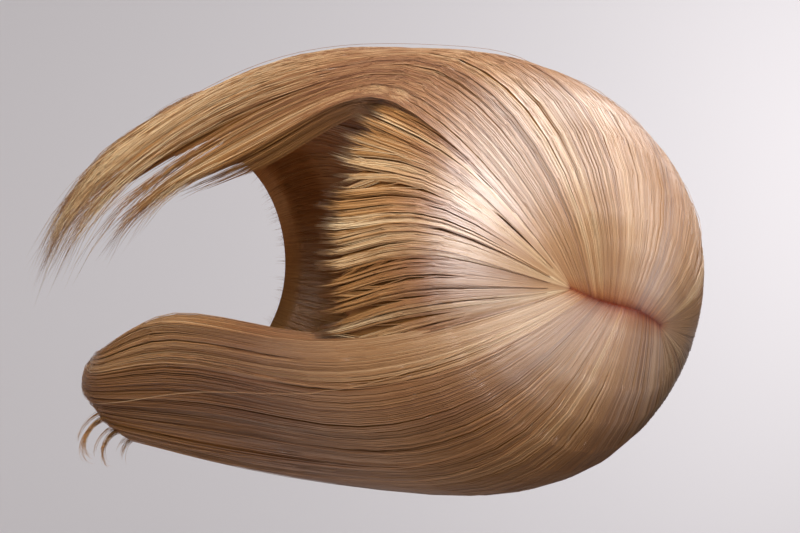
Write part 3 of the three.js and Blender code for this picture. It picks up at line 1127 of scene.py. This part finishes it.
def strand_lanes(section, lane, along, gather, locks, fan, drift):
    """Where strands lie across: drawn together in wisps or locks, swaying, fanned at the tips."""
    wisp = wisp_at(section, lane)[0]
    loose = looseness(section, lane)[:, None]
    middle = mix(section["middles"][wisp], section["lock_middles"][wisp], locks)[:, None]
    begin = section["gather_from"]
    across = mix(lane[:, None], middle, gather * loose * ease_from(along, begin, 1 - begin))
    sway = np.sin(section["sways"][wisp][:, None] + SWAY_TURN * along)
    across = across + SWAY * sway * ease(along / SWAY_GROWS) + drift * along
    return across + fan * loose * section["fans"][wisp][:, None] * ease_from(along, *FANS_OUT) ** 2


def hooked(paths, along, degrees):
    """Swings the tips round the head."""
    return turned(paths, np.radians(degrees) * ease_from(along, *HOOKS) ** 2)


print("tips begin to swing at", HOOKS[0], "of their length")

# %% [markdown]
# ## Growing a layer of strands
#
# One function grows every layer, so that a layer is one line that says how it differs:
#
# - starts, count: the rungs that strands start at, and how many start at each
# - depth_of, end: how deep they lie, and the range of where they end
# - gather, locks: how far they draw together, and whether in wisps, 0, or in whole locks, 1
# - fan, hook, wander: how far tips fan out, swing round the head in degrees, and drift across
# - lanes, tight: which part of the section they cover, and the range of how wide they curl
# - tone: from 0, the darkest fibre, to 1, the palest

# %% Growing strands
# The width of a strand in mm and the shares between which it varies, then how it thins at its tip.
STRAND_WIDTH = 0.5
WIDTHS = (0.75, 1.2)
TIP_LENGTH = 0.12
TIP_THINNEST = 0.25
TIP_SHAPE = 0.7
TONE_SPREAD = 0.11
START_DIP = 0.06
STRAND_DROP = 0.1
ROOT_ZOOM = 0.4


def grow(
    section, rungs, starts, count, depth_of, end, gather=0.0,
    fan=0.0, hook=(0, 0), wander=0.004, lanes=(-0.015, 1.015), tight=(0.85, 1.2), locks=0.0, tone=0.5,
):
    """Batches of strands over some lanes of a section, one batch for each rung that strands start at."""
    batches = []
    for start in starts:
        rung = rungs[None, start:]
        lane = mix(lanes[0], lanes[1], (np.arange(count) + rng.random(count)) / count)
        along = rung * (1 + (strand_ends(section, lane, between(*end, count)) - 1) * rung)
        drift = rng.normal(0, wander, count)[:, None]
        across = strand_lanes(section, lane, along, gather, locks, fan, drift)
        depth = depth_of(section, lane, along) * rise(along)
        if start:
            depth[:, 0] -= START_DIP
        across, depth = opened(section, across, along, depth, STRAND_DROP)
        forward, depth = curled(section, across, along, depth, between(*tight, count))
        swing = between(*hook, count) * looseness(section, lane)[:, None]
        paths = hooked(hair_place(section, across, forward, depth), along, swing)
        taper = np.clip((1 - rung) / TIP_LENGTH, TIP_THINNEST, 1) ** TIP_SHAPE
        widths = STRAND_WIDTH * between(*WIDTHS, count) * taper
        wisp_tones = section["tones"][wisp_at(section, lane)[0]]
        tones = tone + wisp_tones + rng.normal(0, TONE_SPREAD, count)
        # The map is stretched at the root end, where the colour changes fastest.
        batches.append((paths, widths, tones, rungs[start:] ** ROOT_ZOOM))
    return batches


def plant(name, layers):
    """Joins layers of strands in one piece."""
    dress(strands(name, sum(layers, [])), fibre)


print("strands are", [round(STRAND_WIDTH * w, 3) for w in WIDTHS], "mm wide, the thinnest and the thickest")

# %% [markdown]
# ## Fringe strands
#
# A fringe is cut over the brows and falls in pointed wisps. One layer runs from the parting to the tips.
# All of it spreads from one end of the parting and would leave gaps lower down, so shorter layers join
# it on the way. A lining hides the body from below.

# %% Fringe strands
fringe = sections["fringe"]
FRINGE_LAYER = dict(depth_of=surface_depth, end=(1.02, 1.1), gather=0.7, fan=0.016)
plant("fringe_strands", [
    grow(fringe, FRINGE_RUNGS, (0,), 1000, tone=0.66, **FRINGE_LAYER),
    grow(fringe, FRINGE_RUNGS, (3, 4, 5, 6, 7), 420, wander=0.006, tone=0.68, **FRINGE_LAYER),
    # The lining's low tone is painted shade under the fringe.
    grow(fringe, FRINGE_RUNGS, (5, 6), 340, lining_depth, (0.98, 1.03), 0.3, tone=0.35),
])

# %% [markdown]
# ## Right side strands
#
# This side is swept forward under the chin and thins to wispy tips, pale in the light. So its strands
# gather in whole locks, their tips swing forward round the head, and the last layers start lower and are
# painted paler: painted light shining through the thin tips. A layer that hangs further in is painted
# darker, as painted shade between the locks.

# %% Right side strands
right = sections["right_side"]
LOCK_LAYER = dict(depth_of=surface_depth, fan=0.03)
SWEPT_LAYER = dict(LOCK_LAYER, end=(0.88, 1.05), gather=0.75, hook=(0, 14), locks=0.7)
# Tones of 0.85 and more make the last layers and the tips paler: painted light shining through them.
PAINTED_LIGHT_PALE_LAYER = dict(LOCK_LAYER, end=(0.9, 1.05), gather=0.8, hook=(0, 16), locks=0.8, tone=0.85)
PAINTED_LIGHT_FRONT_TIPS = dict(end=(0.86, 0.98), gather=0.85, hook=(14, 26), lanes=(0.0, 0.06), tone=0.95)
PAINTED_LIGHT_LOCK_TIPS = dict(end=(0.98, 1.04), gather=0.92, hook=(4, 18), lanes=(0.15, 0.5), locks=1.0, tone=1.0)
plant("right_side_strands", [
    grow(right, LONG_RUNGS, (0,), 640, **SWEPT_LAYER),
    grow(right, LONG_RUNGS, (4, 6, 8), 220, **SWEPT_LAYER),
    grow(right, LONG_RUNGS, (10, 12), 240, **PAINTED_LIGHT_PALE_LAYER),
    grow(right, LONG_RUNGS, (11,), 210, lining_depth, (0.8, 0.92), 0.6, locks=0.7),
    # The inner layer's low tone is painted shade between the locks.
    grow(right, LONG_RUNGS, (11,), 230, inner_depth, (0.93, 0.97), 0.1, lanes=(0.5, 0.68), tone=0.25),
    grow(right, LONG_RUNGS, (6,), 100, edge_depth, (0.8, 0.95), hook=(6, 18), lanes=(-0.014, 0.004)),
    grow(right, LONG_RUNGS, (11,), 120, surface_depth, **PAINTED_LIGHT_FRONT_TIPS),
    grow(right, LONG_RUNGS, (13,), 220, surface_depth, **PAINTED_LIGHT_LOCK_TIPS),
])

# %% [markdown]
# ## Left side strands
#
# This side hangs straight and turns under. A few wisps at its end flip the other way in small loops.
# They are grown like the rest, with a curl of negative radius, which turns outwards, and with many rungs
# in the loop so that it stays round.

# %% Left side strands
left = sections["left_side"]
FLIP_RUNGS = np.concatenate([np.linspace(0.5, 0.86, 7), np.linspace(0.88, 1, 13)])
FLIPS = (
    dict(count=60, end=(0.97, 1.02), lanes=(0.37, 0.40), tight=(-0.42, -0.37)),
    dict(count=60, end=(0.96, 1.01), lanes=(0.44, 0.47), tight=(-0.36, -0.31)),
    dict(count=40, end=(0.95, 0.98), lanes=(0.52, 0.54), tight=(-0.34, -0.29)),
)
plant("left_side_strands", [
    grow(left, CURL_RUNGS, (0,), 580, surface_depth, (0.98, 1.03), 0.3),
    grow(left, CURL_RUNGS, (4, 6, 8, 10, 12), 210, surface_depth, (0.98, 1.03), 0.3),
    grow(left, CURL_RUNGS, (11,), 180, lining_depth, (0.97, 1.02), 0.3),
    grow(left, CURL_RUNGS, (8,), 60, edge_depth, (0.98, 1.02), lanes=(-0.014, 0.004)),
    *(grow(left, FLIP_RUNGS, (0,), depth_of=surface_depth, gather=0.9, **flip) for flip in FLIPS),
])

# %% [markdown]
# ## Back strands
#
# The back joins the two sides and turns under like the left one. Its ends are cut evenly, and its lining
# is denser, because from the front one looks into it under the chin.

# %% Back strands
back = sections["back"]
plant("back_strands", [
    grow(back, CURL_RUNGS, (0,), 590, surface_depth, (0.98, 1.03), 0.2),
    grow(back, CURL_RUNGS, (4, 6, 8, 10, 12), 215, surface_depth, (0.98, 1.03), 0.2),
    grow(back, CURL_RUNGS, (11,), 330, lining_depth, (0.97, 1.015), 0.05),
])

# %% [markdown]
# ## Stray hairs
#
# However well it is combed, a few hairs cross the others or stand off them. Without them the hair looks
# moulded. A few are enough, and they wander further across the hair than the rest.

# %% Stray hairs
STRAY_RUNGS = np.linspace(0, 1, 40)
plant("stray_hairs", [
    grow(fringe, STRAY_RUNGS, (3,), 8, stray_depth, (0.9, 1.02), wander=0.06),
    grow(right, STRAY_RUNGS, (4,), 7, stray_depth, (0.8, 1.05), wander=0.05),
    grow(left, STRAY_RUNGS, (4,), 4, stray_depth, (0.8, 1.0), wander=0.08, lanes=(0.05, 0.5)),
    grow(back, STRAY_RUNGS, (8,), 6, stray_depth, (0.8, 1.0), wander=0.05),
])

# %% [markdown]
# ## The cap
#
# The cap shows only from below. It fits the head, with a tab before each ear, an arch over it and a nape
# behind. The solid is a plain wall with few faces. Here it is made again with more, so that its rim and
# its inside look round. The two sides of the wall meet at the rim and at a point on top.

# %% Cap wall
CAP_WALL = 1.6
CAP_COLUMNS = 120
CAP_LEVELS = 30
# Azimuth from the face in degrees, and height of the rim in mm.
CAP_RIM = (
    (0, -50), (36, -60), (62, -116), (74, -118), (92, -94), (114, -100), (146, -140), (180, -156),
)


def rim_height(azimuth):
    """Height of the cap's lower edge: forehead, tab before the ear, arch over it, nape."""
    side = np.abs((azimuth + 180) % 360 - 180)
    degrees, heights = np.array(CAP_RIM, float).T
    i = np.clip(np.searchsorted(degrees, side, side="right") - 1, 0, len(degrees) - 2)
    return mix(heights[i], heights[i + 1], ease_from(side, degrees[i], degrees[i + 1] - degrees[i]))


def cap_wall(lift):
    """One side of the cap as points, columns round it by levels down it, without its top point."""
    azimuth = np.arange(CAP_COLUMNS) * 360 / CAP_COLUMNS
    lowest = np.arccos((rim_height(azimuth) + CROWN_HEIGHT) / CROWN_HEIGHT)
    tilt = lowest[:, None] * np.arange(1, CAP_LEVELS + 1)[None] / CAP_LEVELS
    a = np.radians(azimuth)[:, None]
    outward = np.stack([np.sin(a) * np.sin(tilt), -np.cos(a) * np.sin(tilt), np.cos(tilt)], -1)
    return ((HEAD_HALF + lift) * outward - (0, 0, CROWN_HEIGHT)).reshape(-1, 3)


rim_levels = rim_height(np.arange(360.0))
print("the rim of the cap lies between", rim_levels.min(), "and", rim_levels.max(), "mm")


# %% Cap mesh
def cap_faces(size):
    """Quads of the outer and inner side and of the rim, and triangles round the two top points."""
    column = np.arange(CAP_COLUMNS)[:, None] * CAP_LEVELS
    after = np.roll(column, -1, 0)
    level = np.arange(CAP_LEVELS - 1)[None]
    outer = np.stack([column + level, column + level + 1, after + level + 1, after + level], -1)
    outer = outer.reshape(-1, 4)
    rim = np.concatenate([column, column + size, after + size, after], 1) + CAP_LEVELS - 1
    over = np.concatenate([0 * column + 2 * size, column, after], 1)
    below = np.concatenate([0 * column + 2 * size + 1, after + size, column + size], 1)
    return [outer, outer[:, ::-1] + size, rim, over, below]


def cap_mesh():
    """The two sides of the net, its rim and its top as one closed mesh."""
    tops = [[0, 0, CAP_WALL], [0, 0, 0]]
    points = np.concatenate([cap_wall(CAP_WALL), cap_wall(0), tops])
    size = CAP_COLUMNS * CAP_LEVELS
    faces = cap_faces(size)
    maps = []
    for face in faces:
        place = face % size
        u = (place // CAP_LEVELS) / CAP_COLUMNS
        v = (place % CAP_LEVELS + 1) / CAP_LEVELS
        maps.append(np.stack([u, v], -1))
    return mesh_object("cap_net", points, faces, maps, flat=(2,))


cap_net = cap_mesh()

# %% [markdown]
# ## Stretch net
#
# The cap is a net of elastic thread, knitted in small open cells. Cutting every cell would take far more
# faces than so hidden a piece is worth. So the net is painted: the edges of the cells are threads, and
# the cells between them are painted dark, as painted shade of the hair seen through a net inside the cap.

# %% Cap material
# Knitted thread is matt. A real net has cells of about 1 mm, drawn here at 3 mm so that they show.
NET_CELL_MM = 3.0
NET_BUMP_MM = 0.6
NET_STRENGTH = 0.6
NET_UNEVENNESS = 0.35
NET_ROUGHNESS = 0.85
# The threads have the net's own colour; the dark cells are painted shade of the hair behind them.
NET_THREADS_AND_PAINTED_SHADE = ((0.0, "#8a6547"), (0.10, "#7d5a3e"), (0.18, "#3d2818"), (1.0, "#33210f"))


def net_material():
    material = empty_material("stretch_net")
    place = node(material, "ShaderNodeTexCoord")
    cells = node(material, "ShaderNodeTexVoronoi", {
        "Vector": place.outputs["Object"],
        "Scale": 1 / (NET_CELL_MM * MM),
        "Randomness": NET_UNEVENNESS,
    }, feature="DISTANCE_TO_EDGE")
    colour = node(material, "ShaderNodeValToRGB", {"Fac": cells.outputs["Distance"]}, NET_THREADS_AND_PAINTED_SHADE)
    bump = node(material, "ShaderNodeBump", {
        "Height": cells.outputs["Distance"],
        "Strength": NET_STRENGTH,
        "Distance": NET_BUMP_MM * MM,
    }, invert=True)
    shader = node(material, "ShaderNodeBsdfPrincipled", {
        "Base Color": colour.outputs["Color"],
        "Roughness": NET_ROUGHNESS,
        "Normal": bump.outputs["Normal"],
    })
    node(material, "ShaderNodeOutputMaterial", {"Surface": shader.outputs["BSDF"]})
    return material


dress(cap_net, net_material(), "cap")
print("material:", cap_net.data.materials[0].name)

# %% [markdown]
# ## The parting cloth
#
# Along the parting lies a narrow strip of woven cloth in a skin colour, so that the parting looks like
# skin. Its solid already has the right shape, so it stays and only gets its finish.

# %% Parting cloth
# Thin woven cloth is matt and a little uneven. Its threads are about 0.2 mm, drawn at 0.5 mm to show.
CLOTH_THREAD_MM = 0.5
CLOTH_DETAIL = 2.0
CLOTH_BUMP_MM = 0.2
CLOTH_STRENGTH = 0.4
CLOTH_ROUGHNESS = 0.8
CLOTH_COLOURS = ((0.3, "#b5763f"), (0.7, "#c98a5c"))


def cloth_material():
    material = empty_material("skin_coloured_cloth")
    place = node(material, "ShaderNodeTexCoord")
    weave = node(material, "ShaderNodeTexNoise", {
        "Vector": place.outputs["Object"],
        "Scale": 1 / (CLOTH_THREAD_MM * MM),
        "Detail": CLOTH_DETAIL,
    })
    colour = node(material, "ShaderNodeValToRGB", {"Fac": weave.outputs["Fac"]}, CLOTH_COLOURS)
    bump = node(material, "ShaderNodeBump", {
        "Height": weave.outputs["Fac"],
        "Strength": CLOTH_STRENGTH,
        "Distance": CLOTH_BUMP_MM * MM,
    })
    shader = node(material, "ShaderNodeBsdfPrincipled", {
        "Base Color": colour.outputs["Color"],
        "Roughness": CLOTH_ROUGHNESS,
        "Normal": bump.outputs["Normal"],
    })
    node(material, "ShaderNodeOutputMaterial", {"Surface": shader.outputs["BSDF"]})
    return material


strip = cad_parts["parting_strip"]
strip.data.materials.clear()
strip.data.materials.append(cloth_material())
print("material:", strip.data.materials[0].name)

# %% [markdown]
# ## Floor and light
#
# A plain pale floor lies well below the wig, which is held up as a head would hold it. Five soft lights
# stand round it. A long one level with the crown, on the wearer's right, draws the bright bands across
# it, and a large one in front lights the fringe. One far behind shines on the floor. A warm reflector
# keeps the left side from going grey, and a weak light high at the back shows the rear. The world adds
# a little light from everywhere. A picture of a studio could do all that, but lights are easier to set.

# %% Floor
FLOOR_Z = -1800
FLOOR_REACH = 40000
FLOOR_COLOUR = "#e4dfe2"
FLOOR_ROUGHNESS = 0.9
FLOOR_CORNERS = ((0, 0), (1, 0), (1, 1), (0, 1))


def floor_material():
    """Painted board: pale and matt, so it shows no reflections."""
    material = empty_material("painted_board")
    shader = node(material, "ShaderNodeBsdfPrincipled", {
        "Base Color": linear(FLOOR_COLOUR),
        "Roughness": FLOOR_ROUGHNESS,
    })
    node(material, "ShaderNodeOutputMaterial", {"Surface": shader.outputs["BSDF"]})
    return material


floor_map = np.array(FLOOR_CORNERS, float)
floor_points = np.column_stack([FLOOR_REACH * (2 * floor_map - 1), np.full(4, FLOOR_Z)])
floor = mesh_object("floor", floor_points, [np.array([[0, 1, 2, 3]])], [floor_map])
floor.data.materials.append(floor_material())

# %% Light
WORLD_COLOUR = "#e6e2e6"
WORLD_STRENGTH = 0.06
WHITE = "#ffffff"
WARM = "#ffc890"
# Name, place, point it shines at, width and height, power in watts, spread in degrees, colour.
LIGHTS = (
    ("key_light", (-1.25, -0.1, 0.16), (0, -0.05, -0.05), (1.7, 0.5), 3.8, 70, WHITE),
    ("front_light", (-0.6, -1.1, 1.0), (0, -0.05, -0.05), (1.6, 1.6), 17.5, 100, WHITE),
    ("floor_light", (-1.0, 2.5, 0.8), (-1.0, 2.5, -1.8), (0.6, 0.6), 34, 130, WHITE),
    ("reflector", (1.0, -0.5, -0.75), (0.05, -0.03, -0.28), (0.8, 0.8), 2.6, 180, WARM),
    ("back_light", (0.3, 1.1, 0.9), (0, 0, -0.1), (1.0, 1.0), 3, 180, WHITE),
)


def soft_light(name, place, aim, size, power, spread, colour):
    """A rectangular soft light, which shines within its spread."""
    data = bpy.data.lights.new(name, "AREA")
    data.shape = "RECTANGLE"
    data.size = size[0]
    data.size_y = size[1]
    data.energy = power
    data.spread = math.radians(spread)
    data.color = linear(colour)[:3]
    light = bpy.data.objects.new(name, data)
    light.location = place
    light.rotation_euler = (Vector(aim) - Vector(place)).to_track_quat("-Z", "Y").to_euler()
    scene.collection.objects.link(light)
    print(name, power, "W")


scene.view_settings.view_transform = "Standard"
world = bpy.data.worlds.new("studio")
world.use_nodes = True
sky = world.node_tree.nodes["Background"]
sky.inputs["Color"].default_value = linear(WORLD_COLOUR)
sky.inputs["Strength"].default_value = WORLD_STRENGTH
scene.world = world
for row in LIGHTS:
    soft_light(*row)

# %% [markdown]
# ## Finish
#
# Strands stand a little proud of the solids. At the end the scene is brought up to date.

# %% Finish
bpy.context.view_layer.update()
